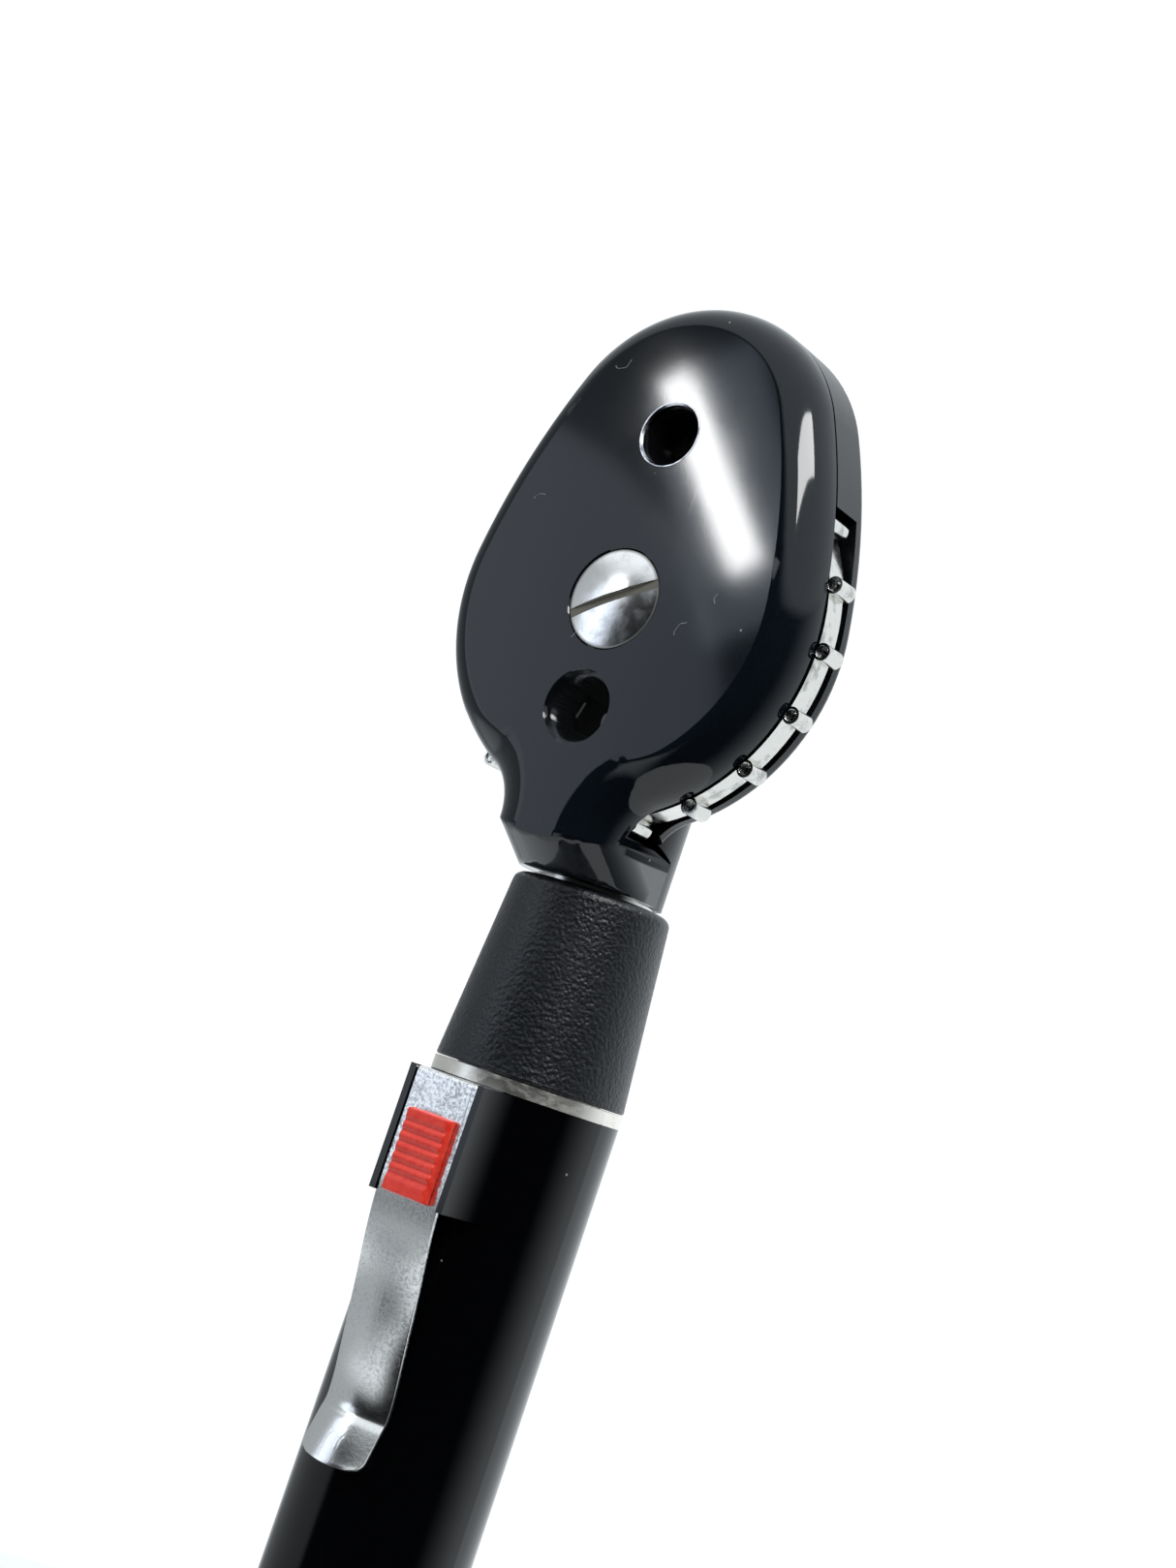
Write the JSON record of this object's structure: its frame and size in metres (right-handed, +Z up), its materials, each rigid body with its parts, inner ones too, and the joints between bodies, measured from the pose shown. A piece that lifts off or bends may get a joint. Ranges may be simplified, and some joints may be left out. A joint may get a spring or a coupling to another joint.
{
  "type": "pocket ophthalmoscope",
  "caption": "Handheld eye-examination instrument with a lens-wheel head, screw collar, slide switch, pocket clip and battery handle with a screw cap.",
  "frame": {"origin": "centre of the end cap's flat base", "axes": "+Z up the handle's axis to the head; -Y is the examiner's side, where the sight hole, switch and clip face"},
  "size_m": [0.0452, 0.0242, 0.1954],
  "materials": {
    "black_gloss": "glossy moulded barrel with fine scuffs",
    "head_black": "satin moulded cover with a polished sheen",
    "casing_black": "satin moulded casing",
    "collar_black": "fine leather grain",
    "cap_black": "satin with fluted grip",
    "nickel": "nickel plate, warm and spotted",
    "clip_chrome": "worn chrome plate on spring steel",
    "screw_chrome": "polished",
    "stem_metal": "turned",
    "steel": "plain",
    "brass": "plain",
    "red_plastic": "worn moulded plastic",
    "white_plastic": "plain",
    "wheel_silver": "bright moulded rim",
    "tube_black": "dead black",
    "seal_rubber": "moulded rubber",
    "cell_jacket": "printed sleeve, unmarked",
    "clear_glass": "clear",
    "mirror_glass": "front silvered"
  },
  "bodies": {
    "handle": {"handle_body": "black_gloss", "handle_ring": "nickel", "insulator": "white_plastic", "centre_contact": "brass", "lower_contact_strip": "brass", "upper_contact_strip": "brass", "clip_plate": "clip_chrome", "battery_lower": "cell_jacket", "battery_upper": "cell_jacket"},
    "clip": {"clip_leaf": "clip_chrome"},
    "switch": {"slide_button": "red_plastic", "switch_contact": "brass"},
    "seal": {"cap_seal": "seal_rubber"},
    "cap": {"end_cap": "cap_black", "battery_spring": "steel"},
    "head": {"head_stem": "stem_metal", "lamp_base": "brass", "lamp_glass": "clear_glass", "front_cover": "head_black", "back_casing": "casing_black", "casing_screws": "steel", "sight_rim": "screw_chrome", "sight_tube": "tube_black", "dial_window": "clear_glass", "pivot_screw": "screw_chrome", "pivot_bush": "brass", "detent_spring": "steel", "detent_ball": "steel", "optical_tube": "tube_black", "condenser_lens": "clear_glass", "aperture_stop": "tube_black", "focusing_lens": "clear_glass", "mirror_plate": "mirror_glass", "mirror_holder": "tube_black", "patient_window": "clear_glass"},
    "collar": {"grip_collar": "collar_black"},
    "wheel": {"lens_wheel": "wheel_silver", "dial_ring": "tube_black", "wheel_lenses": "clear_glass"}
  },
  "joints": [
    {"name": "wheel_turn", "type": "hinge", "parent": "head", "child": "wheel", "pos_m": [0, 0, 0.1627], "axis": [0, -1, 0], "continuous": true},
    {"name": "switch_slide", "type": "slide", "parent": "handle", "child": "switch", "axis": [0, 0, 1], "range_m": [0, 0.003]},
    {"name": "clip_flex", "type": "hinge", "parent": "handle", "child": "clip", "pos_m": [0, -0.01275, 0.09895], "axis": [-1, 0, 0], "range_deg": [0, 6], "stiffness_Nm_per_rad": 1.2},
    {"name": "cap_travel", "type": "slide", "parent": "handle", "child": "seal", "axis": [0, 0, -1], "range_m": [0, 0.005]},
    {"name": "cap_turn", "type": "hinge", "parent": "seal", "child": "cap", "pos_m": [0, 0, 0], "axis": [0, 0, -1], "range_deg": [0, 1800]},
    {"name": "head_lift", "type": "slide", "parent": "handle", "child": "head", "axis": [0, 0, 1], "range_m": [0, 0.006]},
    {"name": "collar_turn", "type": "hinge", "parent": "head", "child": "collar", "pos_m": [0, 0, 0.125], "axis": [0, 0, 1], "range_deg": [0, 2160]}
  ],
  "couplings": [
    {"joint": "cap_travel", "follows": "cap_turn", "m_per_rad": 0.00015915},
    {"joint": "collar_turn", "follows": "head_lift", "rad_per_m": 6283.1}
  ]
}
